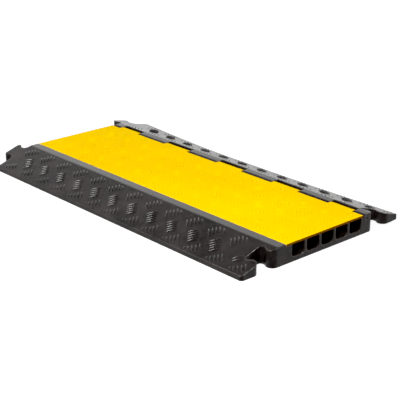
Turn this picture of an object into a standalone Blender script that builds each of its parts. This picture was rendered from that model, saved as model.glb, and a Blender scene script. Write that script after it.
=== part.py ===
"""Five-channel floor cord cover: a moulded rubber base with a ramp on each side, and a hinged plastic lid.

X runs along the cord channels, Y across the ramps (+Y is the hinge side), Z up. Metres.
The origin is the middle of the underside, measured over the connector tongues.
"""

from math import atan2, cos, pi, sin, sqrt, tan

import bmesh
import bpy
from mathutils import Matrix, Vector

MM = 0.001

# Base, overall
LENGTH = 900 * MM
WIDTH = 500 * MM
HEIGHT = 45 * MM
FOOT_HEIGHT = 11 * MM
FOOT_EDGE_RADIUS = 2.5 * MM
FRONT_CREST_Y = -145 * MM
REAR_CREST_Y = 153 * MM
CREST_RADIUS = 12 * MM
CORNER_RADIUS = 7 * MM

# Cord channels
CHANNELS = 5
CHANNEL_WIDTH = 39 * MM
CHANNEL_PITCH = 45.8 * MM
CHANNEL_FLOOR = 11 * MM
CHANNEL_FLOOR_RADIUS = 9 * MM
CHANNEL_MIDDLE_Y = 8 * MM

# Lid
LID_FRONT_Y = -119.5 * MM
LID_THICKNESS = 5 * MM
LID_EDGE_RADIUS = 1.5 * MM
LID_SIDE_GAP = 1 * MM
SEAT_GAP = 0.3 * MM

# Hinge
HINGE_Y = 137 * MM
HINGE_Z = 34.5 * MM
KNUCKLE_RADIUS = 10.5 * MM
LID_BARREL_RADIUS = 9.5 * MM
LID_TOP_REAR_Y = 136 * MM
KNUCKLE_END_GAP = 0.75 * MM
TROUGH_FRONT_Y = 125.5 * MM
TROUGH_REAR_Y = 151.5 * MM
TROUGH_FLOOR = 23 * MM
TROUGH_FLOOR_RADIUS = 9 * MM
ROD_RADIUS = 3 * MM
ROD_RECESS = 2 * MM
BASE_BORE_RADIUS = 3.3 * MM
LID_BORE_RADIUS = 3.5 * MM
BASE_KNUCKLE_SPANS = [
    (-450 * MM, -417 * MM),
    (-340 * MM, -232 * MM),
    (-140 * MM, -31 * MM),
    (59 * MM, 162 * MM),
    (250 * MM, 344 * MM),
    (417 * MM, 450 * MM),
]

# Connectors: a tongue on each ramp at the -X end, and a socket for it at the +X end
TONGUE_Y = 180 * MM
TONGUE_LENGTH = 38 * MM
NECK_HALF_WIDTH = 17.5 * MM
NECK_LENGTH = 19 * MM
HEAD_HALF_WIDTH = 23 * MM
HEAD_START = 28 * MM
SOCKET_CLEARANCE = 1.5 * MM
ROOT_RADIUS = 14 * MM
HEAD_RADIUS = 6 * MM

# Warp: towards each end the rear ramp's outer edge has curled up off the floor.
# Each warp is where it starts along X, where it ends, and how far the outer edge is lifted there.
WARPS = [
    (-130 * MM, -450 * MM, 12 * MM),
    (100 * MM, 450 * MM, 4.5 * MM),
]
WARP_POWER = 1.5
WARP_CREASES = 4

ARC_STEP = pi / 20
ROUND_SIDES = 24
ORIGIN_X = -TONGUE_LENGTH / 2
# How far the guides run past what they cut, and how deep the knuckles are sunk into the base
SLOP = 5 * MM
SINK = 1 * MM
# A point this near a splitting plane counts as on it
SNAP = 0.001 * MM


def rounded(corners):
    """The outline through corners (a, b, radius), each rounded by an arc of its radius."""
    outline = []
    for index, (a, b, radius) in enumerate(corners):
        here = Vector((a, b))
        if radius == 0:
            outline.append(here)
            continue
        back = (Vector(corners[index - 1][:2]) - here).normalized()
        ahead = (Vector(corners[(index + 1) % len(corners)][:2]) - here).normalized()
        half = back.angle(ahead) / 2
        centre = here + (back + ahead).normalized() * (radius / sin(half))
        first = here + back * (radius / tan(half)) - centre
        last = here + ahead * (radius / tan(half)) - centre
        turn = atan2(first.cross(last), first.dot(last))
        steps = max(2, round(abs(turn) / ARC_STEP))
        for step in range(steps + 1):
            angle = atan2(first.y, first.x) + turn * step / steps
            outline.append(centre + radius * Vector((cos(angle), sin(angle))))
    return outline


def material(name, colour, roughness, metallic=0.0):
    made = bpy.data.materials.new(name)
    made.use_nodes = True
    shader = made.node_tree.nodes["Principled BSDF"]
    shader.inputs["Base Color"].default_value = (*colour, 1.0)
    shader.inputs["Roughness"].default_value = roughness
    shader.inputs["Metallic"].default_value = metallic
    return made


def add_object(name, shape, look=None):
    """A new object from a bmesh, its faces turned outwards and its round faces smooth."""
    bmesh.ops.recalc_face_normals(shape, faces=shape.faces)
    mesh = bpy.data.meshes.new(name)
    shape.to_mesh(mesh)
    shape.free()
    mesh.shade_smooth()
    mesh.set_sharp_from_angle(angle=pi / 6)
    if look:
        mesh.materials.append(look)
    made = bpy.data.objects.new(name, mesh)
    bpy.context.collection.objects.link(made)
    return made


def extrude_outline(shape, points, along):
    """Adds to a bmesh the closed prism of a flat outline, extruded by a vector."""
    face = shape.faces.new([shape.verts.new(point) for point in points])
    grown = bmesh.ops.extrude_face_region(shape, geom=[face])
    moved = [item for item in grown["geom"] if isinstance(item, bmesh.types.BMVert)]
    bmesh.ops.translate(shape, verts=moved, vec=along)


def section_prisms(name, outline, spans, look=None):
    """Prisms with a Y-Z outline, one along X for each span."""
    shape = bmesh.new()
    for start, end in spans:
        points = [Vector((start, a, b)) for a, b in outline]
        extrude_outline(shape, points, Vector((end - start, 0, 0)))
    return add_object(name, shape, look)


def plan_prism(name, outline, bottom, top):
    """A prism with an X-Y outline, from one height to another."""
    shape = bmesh.new()
    points = [Vector((a, b, bottom)) for a, b in outline]
    extrude_outline(shape, points, Vector((0, 0, top - bottom)))
    return add_object(name, shape)


def rod_shape(name, radius, start, end, look=None):
    """A cylinder on the hinge axis."""
    shape = bmesh.new()
    place = Matrix.Translation(((start + end) / 2, HINGE_Y, HINGE_Z)) @ Matrix.Rotation(pi / 2, 4, "Y")
    bmesh.ops.create_cone(
        shape,
        cap_ends=True,
        segments=ROUND_SIDES,
        radius1=radius,
        radius2=radius,
        depth=end - start,
        matrix=place,
    )
    return add_object(name, shape, look)


def combine(target, other, operation):
    """Leaves a Boolean on the target, and marks the other object as a guide."""
    step = target.modifiers.new(other.name, "BOOLEAN")
    step.operation = operation
    step.object = other
    step.solver = "EXACT"
    other.hide_render = True
    other.display_type = "WIRE"
    other.hide_set(True)


def connector_corners(side, clearance):
    """Corners of a tongue or socket, which both reach towards -X, from its -Y flank to its +Y flank."""
    neck = NECK_HALF_WIDTH + clearance
    head = HEAD_HALF_WIDTH + clearance
    depth = TONGUE_LENGTH + clearance
    flank = [
        (0, neck, ROOT_RADIUS),
        (NECK_LENGTH, neck, HEAD_RADIUS),
        (HEAD_START, head, HEAD_RADIUS),
        (depth, head, HEAD_RADIUS),
    ]
    centre = side * TONGUE_Y
    near = [(-out, centre - across, radius) for out, across, radius in flank]
    far = [(-out, centre + across, radius) for out, across, radius in reversed(flank)]
    return near + far


def plan_outline():
    """The base seen from above: sockets cut into its +X end, tongues on its -X end."""
    end_x = LENGTH / 2
    side_y = WIDTH / 2
    corners = [(-end_x, -side_y, CORNER_RADIUS), (end_x, -side_y, CORNER_RADIUS)]
    for side in (-1, 1):
        corners += [(end_x + x, y, radius) for x, y, radius in connector_corners(side, SOCKET_CLEARANCE)]
    corners += [(end_x, side_y, CORNER_RADIUS), (-end_x, side_y, CORNER_RADIUS)]
    for side in (1, -1):
        corners += [(x - end_x, y, radius) for x, y, radius in reversed(connector_corners(side, 0))]
    return rounded(corners)


def base_section():
    """The base cut across its channels: ramps, lid seat, channels and the trough for the hinge."""
    side_y = WIDTH / 2
    seat = HEIGHT - LID_THICKNESS - SEAT_GAP
    corners = [
        (-side_y, 0, 0),
        (side_y, 0, 0),
        (side_y, FOOT_HEIGHT, FOOT_EDGE_RADIUS),
        (REAR_CREST_Y, HEIGHT, 0),
        (TROUGH_REAR_Y, HEIGHT, 0),
        (TROUGH_REAR_Y, TROUGH_FLOOR, TROUGH_FLOOR_RADIUS),
        (TROUGH_FRONT_Y, TROUGH_FLOOR, TROUGH_FLOOR_RADIUS),
        (TROUGH_FRONT_Y, seat, 0),
    ]
    for channel in reversed(range(CHANNELS)):
        middle = CHANNEL_MIDDLE_Y + (channel - (CHANNELS - 1) / 2) * CHANNEL_PITCH
        front = middle - CHANNEL_WIDTH / 2
        rear = middle + CHANNEL_WIDTH / 2
        corners += [
            (rear, seat, 0),
            (rear, CHANNEL_FLOOR, CHANNEL_FLOOR_RADIUS),
            (front, CHANNEL_FLOOR, CHANNEL_FLOOR_RADIUS),
            (front, seat, 0),
        ]
    corners += [
        (LID_FRONT_Y - LID_SIDE_GAP, seat, 0),
        (LID_FRONT_Y - LID_SIDE_GAP, HEIGHT, LID_EDGE_RADIUS),
        (FRONT_CREST_Y, HEIGHT, CREST_RADIUS),
        (-side_y, FOOT_HEIGHT, FOOT_EDGE_RADIUS),
    ]
    return rounded(corners)


def barrel_arc(radius, first, last):
    """Points of a barrel round the hinge axis, by their angle from straight up towards +Y."""
    steps = round(abs(last - first) / ARC_STEP)
    angles = [first + (last - first) * step / steps for step in range(steps + 1)]
    return [
        Vector((HINGE_Y + radius * sin(angle), HINGE_Z + radius * cos(angle)))
        for angle in angles
    ]


def base_knuckle_section():
    """A rubber knuckle: round in front of the hinge axis, and sunk into the base below and behind it."""
    below = TROUGH_FLOOR - SINK
    behind = TROUGH_REAR_Y + SINK
    return barrel_arc(KNUCKLE_RADIUS, 0, -pi / 2) + [
        Vector((HINGE_Y - KNUCKLE_RADIUS, below)),
        Vector((behind, below)),
        Vector((behind, HEIGHT)),
    ]


def lift(x, y):
    """How far the warp lifts the rear ramp at a place in the plan."""
    outwards = (y - REAR_CREST_Y) / (WIDTH / 2 - REAR_CREST_Y)
    shares = [(max(0, (x - start) / (end - start)), height) for start, end, height in WARPS]
    return max(0, outwards) * sum(height * share**WARP_POWER for share, height in shares)


def split(shape, faces, place, normal):
    """Adds to a bmesh the edges along which a plane crosses some of its faces."""
    chosen = set(faces)
    verts = [vert for vert in shape.verts if chosen.intersection(vert.link_faces)]
    edges = [edge for edge in shape.edges if chosen.intersection(edge.link_faces)]
    bmesh.ops.bisect_plane(shape, geom=verts + edges + faces, dist=SNAP, plane_co=place, plane_no=normal)


def warp(base):
    """Replaces the base's mesh by its finished shape with the rear ramp creased across and lifted."""
    graph = bpy.context.evaluated_depsgraph_get()
    finished = bpy.data.meshes.new_from_object(base.evaluated_get(graph))
    shape = bmesh.new()
    shape.from_mesh(finished)
    split(shape, list(shape.faces), (0, REAR_CREST_Y, 0), (0, 1, 0))
    for start, end, _ in WARPS:
        for step in range(WARP_CREASES):
            ramp = [face for face in shape.faces if face.calc_center_bounds().y > REAR_CREST_Y]
            crease = start + (end - start) * step / WARP_CREASES
            split(shape, ramp, (crease, 0, 0), (1, 0, 0))
    bmesh.ops.triangulate(shape, faces=shape.faces)
    for vert in shape.verts:
        vert.co.z += lift(vert.co.x, vert.co.y)
    shape.to_mesh(finished)
    shape.free()
    for step in list(base.modifiers):
        bpy.data.objects.remove(step.object)
    base.modifiers.clear()
    base.data = finished


def build_base(look):
    end_x = LENGTH / 2
    base = section_prisms("base", base_section(), [(-end_x - TONGUE_LENGTH - SLOP, end_x + SLOP)], look)
    knuckles = section_prisms("base_knuckles_guide", base_knuckle_section(), BASE_KNUCKLE_SPANS, look)
    combine(base, knuckles, "UNION")
    combine(base, plan_prism("base_plan_guide", plan_outline(), -SLOP, HEIGHT + SLOP), "INTERSECT")
    combine(base, rod_shape("base_bore_guide", BASE_BORE_RADIUS, -end_x - SLOP, end_x + SLOP), "DIFFERENCE")
    warp(base)
    return base


def lid_section():
    """The lid cut across: a flat plate that steps down a little to the barrel of its knuckles."""
    under = HEIGHT - LID_THICKNESS
    rise = under - HINGE_Z
    reach = sqrt(LID_BARREL_RADIUS**2 - rise**2)
    plate = [(LID_FRONT_Y, under, 0), (LID_FRONT_Y, HEIGHT, LID_EDGE_RADIUS), (LID_TOP_REAR_Y, HEIGHT, 0)]
    return rounded(plate) + barrel_arc(LID_BARREL_RADIUS, 0, 2 * pi - atan2(reach, rise))


def lid_notch_spans():
    """Where the base's knuckles stand, with the gap beside each; the outer two run past the lid's ends."""
    spans = [[start - KNUCKLE_END_GAP, end + KNUCKLE_END_GAP] for start, end in BASE_KNUCKLE_SPANS]
    spans[0][0] -= SLOP
    spans[-1][1] += SLOP
    return spans


def build_lid(look, hinge):
    end_x = LENGTH / 2
    lid = section_prisms("lid", lid_section(), [(-end_x, end_x)], look)
    notch_front = HINGE_Y - KNUCKLE_RADIUS - LID_SIDE_GAP
    notch_rear = HINGE_Y + KNUCKLE_RADIUS + SLOP
    notch = [
        (notch_front, HINGE_Z - KNUCKLE_RADIUS - SLOP),
        (notch_rear, HINGE_Z - KNUCKLE_RADIUS - SLOP),
        (notch_rear, HEIGHT + SLOP),
        (notch_front, HEIGHT + SLOP),
    ]
    combine(lid, section_prisms("lid_notches_guide", notch, lid_notch_spans()), "DIFFERENCE")
    combine(lid, rod_shape("lid_bore_guide", LID_BORE_RADIUS, -end_x - SLOP, end_x + SLOP), "DIFFERENCE")
    lid.data.transform(Matrix.Translation(-hinge.location))
    lid.parent = hinge
    return lid


def build_rod(look):
    end_x = LENGTH / 2 - ROD_RECESS
    return rod_shape("hinge_rod", ROD_RADIUS, -end_x, end_x, look)


def main():
    for thing in list(bpy.data.objects):
        bpy.data.objects.remove(thing, do_unlink=True)
    rubber = material("black_rubber", (0.045, 0.042, 0.040), 0.55)
    plastic = material("yellow_plastic", (0.96, 0.66, 0.003), 0.38)
    steel = material("rod_steel", (0.33, 0.33, 0.34), 0.35, 1.0)
    hinge = bpy.data.objects.new("lid_hinge_axis", None)
    bpy.context.collection.objects.link(hinge)
    hinge.location = (0, HINGE_Y, HINGE_Z)
    frame = bpy.data.objects.new("cord_cover", None)
    bpy.context.collection.objects.link(frame)
    for part in (build_base(rubber), build_rod(steel), hinge):
        part.parent = frame
    build_lid(plastic, hinge)
    for guide in bpy.data.objects:
        if guide.name.endswith("_guide"):
            guide.parent = frame
    frame.location.x = -ORIGIN_X


main()
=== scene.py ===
"""Looks of the five-channel floor cord cover: its finishes, its raised tread, the studio and the camera.

Metres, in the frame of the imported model: X along the cord channels, Y across the ramps, Z up.
"""

from math import cos, pi, radians, sin, sqrt

import bpy
from mathutils import Matrix, Vector
from mathutils.bvhtree import BVHTree


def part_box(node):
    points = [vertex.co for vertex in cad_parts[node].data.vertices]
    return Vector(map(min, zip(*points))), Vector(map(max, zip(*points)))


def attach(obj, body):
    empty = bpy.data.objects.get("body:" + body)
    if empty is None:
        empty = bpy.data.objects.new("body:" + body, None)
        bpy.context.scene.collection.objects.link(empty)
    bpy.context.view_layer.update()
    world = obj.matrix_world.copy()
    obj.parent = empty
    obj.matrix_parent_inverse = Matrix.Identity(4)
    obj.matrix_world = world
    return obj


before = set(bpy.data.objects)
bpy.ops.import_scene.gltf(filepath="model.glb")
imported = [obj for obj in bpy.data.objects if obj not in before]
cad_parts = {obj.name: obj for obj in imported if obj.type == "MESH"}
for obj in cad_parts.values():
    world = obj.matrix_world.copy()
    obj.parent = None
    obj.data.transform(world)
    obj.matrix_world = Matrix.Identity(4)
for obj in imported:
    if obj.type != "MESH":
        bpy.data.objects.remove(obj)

MM = 0.001

# Tread: bars in groups of five, on a lattice measured from the middle of the body
GROUP_PITCH = 70 * MM
BARS_IN_GROUP = 5
BAR_PITCH = 8.3 * MM
BAR_LENGTH = 29 * MM
BAR_WIDTH = 5.2 * MM
RAMP_BAR_HEIGHT = 2.9 * MM
LID_BAR_HEIGHT = 1.0 * MM
BAR_SINK = 0.4 * MM
EDGE_MARGIN = 1.2 * MM
SHORTEST_BAR = 5 * MM
FIT_STEPS = 12
# Where a bar that an edge cuts is begun: at its middle, or else nearer one end
BAR_STARTS = (0.0, -8 * MM, 8 * MM)
# How far a place may lie off a plane, and the least cosine of the turn from it
PLANE_OFF = 0.3 * MM
PLANE_COSINE = 0.998
# Bars lie at 45 degrees
DIAGONAL = sqrt(0.5)
# How far above a solid the surface is looked for from
LOOK_FROM = 10 * MM
# A row is its distance from the ramp's foot, which way its bars lean, and how far it is shifted along X
RAMP_ROWS = [
    (83.5 * MM, -1, 6 * MM),
    (47.5 * MM, 1, GROUP_PITCH / 2 + 6.5 * MM),
    (13.5 * MM, -1, 5 * MM),
]
# How much further along X the rear ramp's groups lie than the front ramp's
REAR_SHIFT = 15 * MM
LID_ROWS_MIDDLE_Y = 3 * MM
LID_ROW_PITCH = 35 * MM
LID_ROWS = 7
# The ramps are plain round the sockets, and beside the tongues
PLAIN_LENGTH = 82 * MM
PLAIN_FROM_FOOT = 44 * MM
PLAIN_END = 21 * MM

# Bar mesh
STATIONS = 12
ACROSS = 8
TAPER_POWER = 2.0
SMOOTH_UNDER = radians(60)

# Colours
RUBBER_DARK = (0.0050, 0.0040, 0.0037)
RUBBER_PALE = (0.0270, 0.0205, 0.0190)
RUBBER_WORN = (0.070, 0.055, 0.047)
PLASTIC_DARK = (0.93, 0.57, 0.0)
PLASTIC_PALE = (0.96, 0.63, 0.0)
PLASTIC_PATCH = (0.96, 0.66, 0.0)
# Painted shade: a browner orange on the lid's rounded edges, standing in for the shade those edges turn
# into
PLASTIC_EDGE_SHADE = (0.60, 0.25, 0.005)
# Painted shade: dark brown on the lid's faces that look along X, standing in for the shade on its ends
PLASTIC_END_SHADE = (0.20, 0.08, 0.002)
PLASTIC_TINT = (1.0, 0.70, 0.05, 1.0)
# Painted shade: the steel is made very dark so that the rod's end shows as the dark, shaded hole it sits in
STEEL_SHADED_DARK = (0.05, 0.05, 0.05)
STEEL_SHADED_PALE = (0.10, 0.10, 0.10)
FLOOR_DARK = (0.39, 0.39, 0.39)
FLOOR_PALE = (0.41, 0.41, 0.41)

# Radius that each surface's edges are shaded with
BASE_EDGE = 4.0 * MM
LID_EDGE = 2.4 * MM
BAR_EDGE = 0.3 * MM
EDGE_SAMPLES = 6
# Cosine of the turn from the flat where an edge begins to show, and where it shows in full
EDGE_BEGINS = 0.995
EDGE_FULL = 0.86

# Noise on each surface: the size of its features, its detail, and how strong the detail is
RUBBER_CLOUD = (70 * MM, 4.0, 0.6)
RUBBER_MOTTLE = (9 * MM, 5.0, 0.65)
RUBBER_GRAIN = (0.9 * MM, 2.0, 0.5)
PLASTIC_DRIFT = (180 * MM, 3.0, 0.5)
PLASTIC_MOTTLE = (14 * MM, 4.0, 0.6)
PLASTIC_GRAIN = (0.7 * MM, 2.0, 0.5)
STEEL_LINE = (0.6 * MM, 3.0, 0.5)
FLOOR_TONE = (2.5, 2.0, 0.5)
# Steel's noise is drawn out along the rod by this
STEEL_STRETCH = (0.05, 1.0, 1.0)
# The range that noise mostly keeps to
NOISE_RANGE = (0.3, 0.7)

# Rubber: shares of cloud and mottle in its shade, and the shades that its colours and its gloss run between
CLOUD_SHARE = 0.6
MOTTLE_SHARE = 0.4
RUBBER_COLOUR_SHADES = (0.40, 0.62)
RUBBER_GLOSS_SHADES = (0.36, 0.64)
# Mottle that wear runs between, and how much of the worn colour it shows
WEAR_MOTTLE = (0.35, 0.65)
WEAR = (0.25, 0.8)
# Plastic: mottle that patches run between, the most that they show, and how much browner the rounded edges
# are painted, as painted shade
PATCH_MOTTLE = (0.5, 0.8)
PATCH_MOST = 0.5
EDGE_SHADE_SHARE = 0.8
# How far a face looks along X where its painted end shade begins, and where it shows in full
END_SHADE_BAND = (0.90, 0.99)

# Roughness, as its range, shine, and relief of each surface
BASE_ROUGHNESS = (0.24, 0.36)
BASE_SHINE = 0.36
BASE_RELIEF = 0.28
BAR_ROUGHNESS = (0.22, 0.28)
BAR_SHINE = 0.5
BAR_RELIEF = 0.0
PLASTIC_ROUGHNESS = (0.70, 0.82)
PLASTIC_SHINE = 0.015
PLASTIC_RELIEF = 0.15
STEEL_ROUGHNESS = (0.48, 0.62)
FLOOR_ROUGHNESS = 0.9
FLOOR_SHINE = 0.1
# Depth of the relief
RUBBER_GRAIN_DEPTH = 0.3 * MM
RUBBER_MOTTLE_DEPTH = 0.5 * MM
PLASTIC_GRAIN_DEPTH = 0.2 * MM

# Photograph's view
CAMERA_PLACE = (1.9309, -1.6931, 0.9645)
CAMERA_AZIMUTH = radians(47.725)
CAMERA_DOWN = radians(20.999)
CAMERA_ROLL = radians(0.288)
FRAME_PIXELS = 400
FOCAL_PIXELS = 1119.9
SENSOR_WIDTH = 36.0
CLIP_START = 0.05
CLIP_END = 100.0

FLOOR_SIZE = 60.0
FLOOR_DROP = 0.2 * MM
FLOOR_GLOW = 0.78
# Light of the surroundings, by the sine of the height above the horizon
WALL_TOP = 0.42
CEILING_START = 0.67
WALL_LIGHT = 1.45
HORIZON_LIGHT = 0.4
CEILING_LIGHT = 0.16
FLOOR_LIGHT = 0.42
CAMERA_SIDE = 0.10
# Where the floor's dim light turns full, by the same sine
FLOOR_BAND = (-0.14, -0.02)
# Where the light turns from full to dim, by the cosine of the turn from the camera's side
SIDE_BAND = (-0.1, 0.8)
# Softboxes: place, aim, size and power
FILL = ((0.8, -1.5, 1.6), (0.1, 0.0, 0.0), (4.0, 2.6), 93.0)
GLINTS = ((-0.2, -1.8, 1.5), (0.0, -0.2, 0.0), (1.5, 0.9), 80.0)
EDGE_LIGHT = ((1.32, 0.22, 0.875), (0.42, -0.18, 0.03), (0.3, 0.2), 22.0)
DISPLAY_BLACK = (0.006, 0.006, 0.006)


def node(tree, kind, inputs=None, **settings):
    """A shader node, with its settings and its inputs, each a number, a colour or another node's output."""
    made = tree.nodes.new(kind)
    for name, value in settings.items():
        setattr(made, name, value)
    for name, value in (inputs or {}).items():
        if isinstance(value, bpy.types.NodeSocket):
            tree.links.new(value, made.inputs[name])
        else:
            made.inputs[name].default_value = value
    return made


def noise(tree, place, size, detail, roughness):
    """Noise with features about size metres across."""
    inputs = {"Vector": place, "Scale": 1 / size, "Detail": detail, "Roughness": roughness}
    return node(tree, "ShaderNodeTexNoise", inputs).outputs["Fac"]


def spread(tree, value, low, high, to_low=0.0, to_high=1.0):
    """The value mapped from one range to another, held inside it."""
    inputs = {"Value": value, "From Min": low, "From Max": high, "To Min": to_low, "To Max": to_high}
    return node(tree, "ShaderNodeMapRange", inputs).outputs["Result"]


def maths(tree, operation, first, second):
    """The result of an operation on two values, each a number or another node's output."""
    made = node(tree, "ShaderNodeMath", operation=operation)
    for socket, value in zip(made.inputs, (first, second)):
        if isinstance(value, bpy.types.NodeSocket):
            tree.links.new(value, socket)
        else:
            socket.default_value = value
    return made.outputs["Value"]


def blend(tree, share, first, second):
    """A mix of two colours."""
    made = node(tree, "ShaderNodeMix", data_type="RGBA")
    tree.links.new(share, made.inputs["Factor"])
    for name, value in (("A", first), ("B", second)):
        socket = [item for item in made.inputs if item.name == name and item.type == "RGBA"][0]
        if isinstance(value, bpy.types.NodeSocket):
            tree.links.new(value, socket)
        else:
            socket.default_value = (*value, 1.0)
    return [item for item in made.outputs if item.type == "RGBA"][0]


def new_material(name):
    """A material with its Principled shader, and the object's own coordinates."""
    made = bpy.data.materials.new(name)
    made.use_nodes = True
    tree = made.node_tree
    place = node(tree, "ShaderNodeTexCoord").outputs["Object"]
    return made, tree, tree.nodes["Principled BSDF"], place


def edge_mask(tree, radius):
    """A mask that is 1 on the rounded edges and 0 on the flats, and the rounded normal."""
    rounded = node(tree, "ShaderNodeBevel", {"Radius": radius}, samples=EDGE_SAMPLES).outputs["Normal"]
    flat = node(tree, "ShaderNodeNewGeometry").outputs["Normal"]
    dot = node(tree, "ShaderNodeVectorMath", operation="DOT_PRODUCT")
    tree.links.new(rounded, dot.inputs[0])
    tree.links.new(flat, dot.inputs[1])
    return spread(tree, dot.outputs["Value"], EDGE_BEGINS, EDGE_FULL), rounded


def rubber(name, edge_radius, relief, roughness, shine):
    """Black moulded rubber: cloudy, finely grained, and a little paler where its edges are rubbed."""
    made, tree, shader, place = new_material(name)
    clouds = noise(tree, place, *RUBBER_CLOUD)
    mottle = noise(tree, place, *RUBBER_MOTTLE)
    grain = noise(tree, place, *RUBBER_GRAIN)
    cloud_part = maths(tree, "MULTIPLY", clouds, CLOUD_SHARE)
    mottle_part = maths(tree, "MULTIPLY", mottle, MOTTLE_SHARE)
    shade = maths(tree, "ADD", cloud_part, mottle_part)
    colour = blend(tree, spread(tree, shade, *RUBBER_COLOUR_SHADES), RUBBER_DARK, RUBBER_PALE)
    rubbed, rounded = edge_mask(tree, edge_radius)
    worn = maths(tree, "MULTIPLY", rubbed, spread(tree, mottle, *WEAR_MOTTLE, *WEAR))
    colour = blend(tree, worn, colour, RUBBER_WORN)
    tree.links.new(colour, shader.inputs["Base Color"])
    tree.links.new(spread(tree, shade, *RUBBER_GLOSS_SHADES, *roughness), shader.inputs["Roughness"])
    shader.inputs["Specular IOR Level"].default_value = shine
    inputs = {"Height": grain, "Normal": rounded, "Strength": relief, "Distance": RUBBER_GRAIN_DEPTH}
    fine = node(tree, "ShaderNodeBump", inputs).outputs["Normal"]
    inputs = {"Height": mottle, "Normal": fine, "Strength": relief, "Distance": RUBBER_MOTTLE_DEPTH}
    tree.links.new(node(tree, "ShaderNodeBump", inputs).outputs["Normal"], shader.inputs["Normal"])
    return made


def plastic(name, edge_radius):
    """Yellow moulded plastic: matt, finely grained, with painted shade: browner rounded edges, and dark
    brown faces that look along X.
    """
    made, tree, shader, place = new_material(name)
    shaded_edges, rounded = edge_mask(tree, edge_radius)
    drift = noise(tree, place, *PLASTIC_DRIFT)
    mottle = noise(tree, place, *PLASTIC_MOTTLE)
    grain = noise(tree, place, *PLASTIC_GRAIN)
    colour = blend(tree, spread(tree, drift, *NOISE_RANGE), PLASTIC_DARK, PLASTIC_PALE)
    patches = spread(tree, mottle, *PATCH_MOTTLE, 0.0, PATCH_MOST)
    colour = blend(tree, patches, colour, PLASTIC_PATCH)
    # Painted shade: the lid's rounded edges are mixed towards brown, as if they lay in shade
    colour = blend(tree, maths(tree, "MULTIPLY", shaded_edges, EDGE_SHADE_SHARE), colour, PLASTIC_EDGE_SHADE)
    # Painted shade: faces that look along X are darkened to brown, as if the lid's ends lay in shade
    flat = node(tree, "ShaderNodeNewGeometry").outputs["Normal"]
    along = node(tree, "ShaderNodeSeparateXYZ", {"Vector": flat}).outputs["X"]
    painted_end_shade = spread(tree, maths(tree, "ABSOLUTE", along, 0.0), *END_SHADE_BAND)
    colour = blend(tree, painted_end_shade, colour, PLASTIC_END_SHADE)
    tree.links.new(colour, shader.inputs["Base Color"])
    rough = spread(tree, mottle, *NOISE_RANGE, *PLASTIC_ROUGHNESS)
    tree.links.new(rough, shader.inputs["Roughness"])
    shader.inputs["Specular IOR Level"].default_value = PLASTIC_SHINE
    shader.inputs["Specular Tint"].default_value = PLASTIC_TINT
    inputs = {
        "Height": grain,
        "Normal": rounded,
        "Strength": PLASTIC_RELIEF,
        "Distance": PLASTIC_GRAIN_DEPTH,
    }
    tree.links.new(node(tree, "ShaderNodeBump", inputs).outputs["Normal"], shader.inputs["Normal"])
    return made


def steel():
    """Drawn steel with fine lines along the rod, painted very dark as shade, so that the rod's end shows as
    the dark hole it sits in.
    """
    made, tree, shader, place = new_material("drawn_steel_painted_dark")
    inputs = {"Vector": place, "Scale": STEEL_STRETCH}
    stretched = node(tree, "ShaderNodeMapping", inputs).outputs["Vector"]
    lines = noise(tree, stretched, *STEEL_LINE)
    colour = blend(tree, spread(tree, lines, *NOISE_RANGE), STEEL_SHADED_DARK, STEEL_SHADED_PALE)
    tree.links.new(colour, shader.inputs["Base Color"])
    rough = spread(tree, lines, *NOISE_RANGE, *STEEL_ROUGHNESS)
    tree.links.new(rough, shader.inputs["Roughness"])
    shader.inputs["Metallic"].default_value = 1.0
    return made


def floor_paint():
    """Pale matt paint that glows, so that the floor stays white under the part."""
    made, tree, shader, place = new_material("studio_floor")
    tone = noise(tree, place, *FLOOR_TONE)
    colour = blend(tree, spread(tree, tone, *NOISE_RANGE), FLOOR_DARK, FLOOR_PALE)
    tree.links.new(colour, shader.inputs["Base Color"])
    shader.inputs["Roughness"].default_value = FLOOR_ROUGHNESS
    shader.inputs["Specular IOR Level"].default_value = FLOOR_SHINE
    shader.inputs["Emission Color"].default_value = (1.0, 1.0, 1.0, 1.0)
    shader.inputs["Emission Strength"].default_value = FLOOR_GLOW
    return made


def bar_template():
    """A tread bar's points and faces: a rounded ridge that tapers to its ends, closed below the surface.

    A point is its shares of the length and of the width (-1 to 1), and its share of the height.
    """
    points = []
    rows = []
    for station in range(1, STATIONS):
        along = -cos(pi * station / STATIONS)
        taper = 1 - abs(along) ** TAPER_POWER
        row = []
        for step in range(ACROSS + 1):
            across = -cos(pi * step / ACROSS)
            row.append(len(points))
            points.append((along, across * sqrt(taper), (1 - across * across) * taper))
        rows.append(row)
    tips = (len(points), len(points) + 1)
    points += [(-1.0, 0.0, 0.0), (1.0, 0.0, 0.0)]
    faces = []
    for lower, upper in zip(rows, rows[1:]):
        for step in range(ACROSS):
            faces.append((lower[step], upper[step], upper[step + 1], lower[step + 1]))
    for step in range(ACROSS):
        faces.append((tips[0], rows[0][step], rows[0][step + 1]))
        faces.append((tips[1], rows[-1][step + 1], rows[-1][step]))
    right = [row[0] for row in rows]
    left = [row[-1] for row in rows]
    faces.append((tips[0], *left, tips[1], *reversed(right)))
    return points, faces


class Surface:
    """The top of a solid, where the tread stands."""

    def __init__(self, name):
        self.tree = BVHTree.FromObject(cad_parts[name], bpy.context.evaluated_depsgraph_get())
        self.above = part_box(name)[1].z + LOOK_FROM

    def under(self, x, y):
        """The surface's point and normal under a place in the plan."""
        point, normal, _, _ = self.tree.ray_cast(Vector((x, y, self.above)), Vector((0, 0, -1)))
        return point, normal


def same_plane(surface, x, y, point, normal):
    """Whether the surface under a place lies in the plane through point."""
    found, facing = surface.under(x, y)
    if found is None:
        return False
    return abs((found - point).dot(normal)) < PLANE_OFF and facing.dot(normal) > PLANE_COSINE


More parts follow.
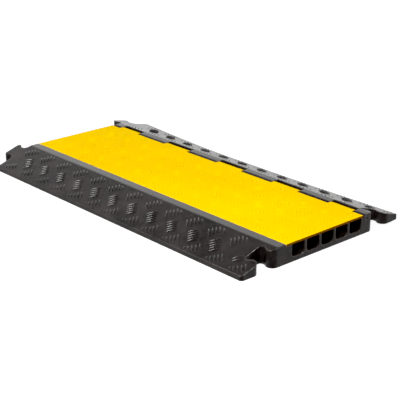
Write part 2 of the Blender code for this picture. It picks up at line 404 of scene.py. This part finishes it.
def fitted_bar(surface, x, y, lean, start):
    """A bar about a place, drawn in to where its plane ends.

    The plane is the one under the bar's point start, and the ends are distances from that point.
    """
    point, normal = surface.under(x + start * DIAGONAL, y + start * lean * DIAGONAL)
    if point is None:
        return None
    across = BAR_WIDTH / 2 + EDGE_MARGIN
    reach = []
    for way in (-1, 1):
        full = BAR_LENGTH / 2 + EDGE_MARGIN - way * start
        far = 0.0
        for step in range(FIT_STEPS + 1):
            out = start + way * full * step / FIT_STEPS
            places = [
                (x + (out + side * across * lean) * DIAGONAL, y + (out * lean - side * across) * DIAGONAL)
                for side in (-1, 0, 1)
            ]
            if not all(same_plane(surface, a, b, point, normal) for a, b in places):
                break
            far = full * step / FIT_STEPS
        reach.append(max(0.0, far - EDGE_MARGIN))
    if sum(reach) < SHORTEST_BAR:
        return None
    return -reach[0], reach[1], point, normal


def first_bar(surface, x, y, lean):
    """The first bar about a place that the surface has room for, if any."""
    for start in BAR_STARTS:
        bar = fitted_bar(surface, x, y, lean, start)
        if bar:
            return bar
    return None


def bar_points(shape, bar, lean, height):
    """The template's points, set on the surface as one bar, and lower where the bar is cut short."""
    near, far, point, normal = bar
    along = Vector((1, lean, 0))
    along -= normal * along.dot(normal)
    along.normalize()
    across = normal.cross(along)
    middle = point + along * (near + far) / 2
    rise = height * min(1.0, (far - near) / BAR_LENGTH)
    points = []
    for a, b, c in shape:
        place = middle + along * (a * (far - near) / 2) + across * (b * BAR_WIDTH / 2)
        points.append(place + normal * (c * (rise + BAR_SINK) - BAR_SINK))
    return points


def tread(name, surface, groups, height, look, body, skip=None):
    """One mesh of tread bars: groups are (x, y, lean), and the bars of a group lie side by side."""
    shape, sides = bar_template()
    points = []
    faces = []
    for x, y, lean in groups:
        for index in range(BARS_IN_GROUP):
            offset = (index - (BARS_IN_GROUP - 1) / 2) * BAR_PITCH * DIAGONAL
            bar_x = x + offset
            bar_y = y - offset * lean
            if skip and skip(bar_x, bar_y):
                continue
            bar = first_bar(surface, bar_x, bar_y, lean)
            if not bar:
                continue
            start = len(points)
            points += bar_points(shape, bar, lean, height)
            faces += [[start + corner for corner in face] for face in sides]
    mesh = bpy.data.meshes.new(name)
    mesh.from_pydata(points, [], faces)
    mesh.shade_smooth()
    mesh.set_sharp_from_angle(angle=SMOOTH_UNDER)
    mesh.materials.append(look)
    made = bpy.data.objects.new(name, mesh)
    bpy.context.collection.objects.link(made)
    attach(made, body)
    return made


def lattice(length, shift):
    """Where the groups of a row lie along X, from the middle of the body."""
    reach = int(length / GROUP_PITCH / 2) + 1
    return [shift + GROUP_PITCH * step for step in range(-reach, reach + 1)]


def build_tread(looks):
    """The three treads: rows of groups on both ramps and on the lid."""
    lid_low, lid_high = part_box("lid")
    base_low, base_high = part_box("base")
    middle_x = (lid_low.x + lid_high.x) / 2
    length = lid_high.x - lid_low.x
    base = Surface("base")
    ramps = (("front_ramp_tread", base_low.y, 1, 0), ("rear_ramp_tread", base_high.y, -1, REAR_SHIFT))
    for name, foot_y, inwards, extra in ramps:
        groups = []
        for from_foot, lean, shift in RAMP_ROWS:
            y = foot_y + inwards * from_foot
            groups += [(middle_x + extra + x, y, lean) for x in lattice(length, shift)]

        def plain(x, y):
            near_socket = x > base_high.x - PLAIN_LENGTH and abs(y - foot_y) > PLAIN_FROM_FOOT
            return near_socket or x < lid_low.x + PLAIN_END + extra

        tread(name, base, groups, RAMP_BAR_HEIGHT, looks["bars"], "base", plain)
    groups = []
    for row in range(LID_ROWS):
        step = row - (LID_ROWS - 1) / 2
        y = LID_ROWS_MIDDLE_Y + step * LID_ROW_PITCH
        lean = 1 if row % 2 else -1
        shift = GROUP_PITCH / 2 if row % 2 else 0
        groups += [(middle_x + x, y, lean) for x in lattice(length, shift)]
    lid = Surface("lid")
    tread("lid_tread", lid, groups, LID_BAR_HEIGHT, looks["plastic_bars"], "lid")


def dress_nodes(looks):
    """Gives the solids their finishes."""
    for name, look in (("base", "rubber"), ("lid", "plastic"), ("hinge_rod", "steel")):
        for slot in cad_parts[name].material_slots:
            slot.material = looks[look]


def build_studio():
    """The floor, which shows but gives no light or reflection, the lights, and the picture's black."""
    half = FLOOR_SIZE / 2
    mesh = bpy.data.meshes.new("studio_floor")
    ways = ((-1, -1), (1, -1), (1, 1), (-1, 1))
    corners = [(half * x, half * y, -FLOOR_DROP) for x, y in ways]
    mesh.from_pydata(corners, [], [(0, 1, 2, 3)])
    mesh.materials.append(floor_paint())
    floor = bpy.data.objects.new("studio_floor", mesh)
    bpy.context.collection.objects.link(floor)
    floor.visible_diffuse = False
    floor.visible_glossy = False

    build_surroundings()
    softbox("fill_softbox", *FILL).visible_glossy = False
    softbox("glint_softbox", *GLINTS).visible_diffuse = False
    softbox("edge_softbox", *EDGE_LIGHT).visible_diffuse = False
    display = bpy.context.scene.view_settings
    display.view_transform = "Standard"
    display.use_curve_mapping = True
    display.curve_mapping.black_level = DISPLAY_BLACK
    display.curve_mapping.update()


def build_surroundings():
    """White walls, a dark ceiling and a dimmer floor, all darker towards the camera."""
    world = bpy.data.worlds.new("studio")
    world.use_nodes = True
    bpy.context.scene.world = world
    tree = world.node_tree
    direction = node(tree, "ShaderNodeTexCoord").outputs["Generated"]
    height = node(tree, "ShaderNodeSeparateXYZ", {"Vector": direction}).outputs["Z"]
    by_height = maths(
        tree,
        "ADD",
        spread(tree, height, WALL_TOP, CEILING_START, WALL_LIGHT, CEILING_LIGHT),
        spread(tree, height, 0.0, WALL_TOP, HORIZON_LIGHT, 0.0),
    )
    facing = node(tree, "ShaderNodeVectorMath", operation="DOT_PRODUCT")
    tree.links.new(direction, facing.inputs[0])
    facing.inputs[1].default_value = (sin(CAMERA_AZIMUTH), -cos(CAMERA_AZIMUTH), 0.0)
    by_side = spread(tree, facing.outputs["Value"], *SIDE_BAND, 1.0, CAMERA_SIDE)
    by_height = maths(tree, "MULTIPLY", by_height, spread(tree, height, *FLOOR_BAND, FLOOR_LIGHT, 1.0))
    back = tree.nodes["Background"]
    back.inputs["Color"].default_value = (1.0, 1.0, 1.0, 1.0)
    tree.links.new(maths(tree, "MULTIPLY", by_height, by_side), back.inputs["Strength"])


def softbox(name, place, target, size, power):
    """A rectangular light that shows only in what it lights or glints on."""
    light = bpy.data.lights.new(name, "AREA")
    light.shape = "RECTANGLE"
    light.size, light.size_y = size
    light.energy = power
    made = bpy.data.objects.new(name, light)
    bpy.context.collection.objects.link(made)
    made.visible_camera = False
    made.location = place
    made.rotation_euler = (Vector(target) - Vector(place)).to_track_quat("-Z", "Y").to_euler()
    return made


def build_camera():
    """The camera that the photograph was taken with, as solved from it."""
    data = bpy.data.cameras.new("camera")
    data.sensor_width = SENSOR_WIDTH
    data.lens = SENSOR_WIDTH * FOCAL_PIXELS / FRAME_PIXELS
    data.clip_start = CLIP_START
    data.clip_end = CLIP_END
    camera = bpy.data.objects.new("camera", data)
    bpy.context.collection.objects.link(camera)
    turn = Matrix.Rotation(CAMERA_AZIMUTH, 4, "Z") @ Matrix.Rotation(pi / 2 - CAMERA_DOWN, 4, "X")
    camera.matrix_world = Matrix.Translation(CAMERA_PLACE) @ turn @ Matrix.Rotation(CAMERA_ROLL, 4, "Z")
    bpy.context.scene.camera = camera


def main():
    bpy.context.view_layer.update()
    looks = {
        "rubber": rubber("moulded_rubber", BASE_EDGE, BASE_RELIEF, BASE_ROUGHNESS, BASE_SHINE),
        "bars": rubber("rubber_bars", BAR_EDGE, BAR_RELIEF, BAR_ROUGHNESS, BAR_SHINE),
        "plastic": plastic("moulded_plastic", LID_EDGE),
        "plastic_bars": plastic("plastic_bars", BAR_EDGE),
        "steel": steel(),
    }
    dress_nodes(looks)
    build_tread(looks)
    build_studio()
    build_camera()
    bpy.context.view_layer.update()


main()
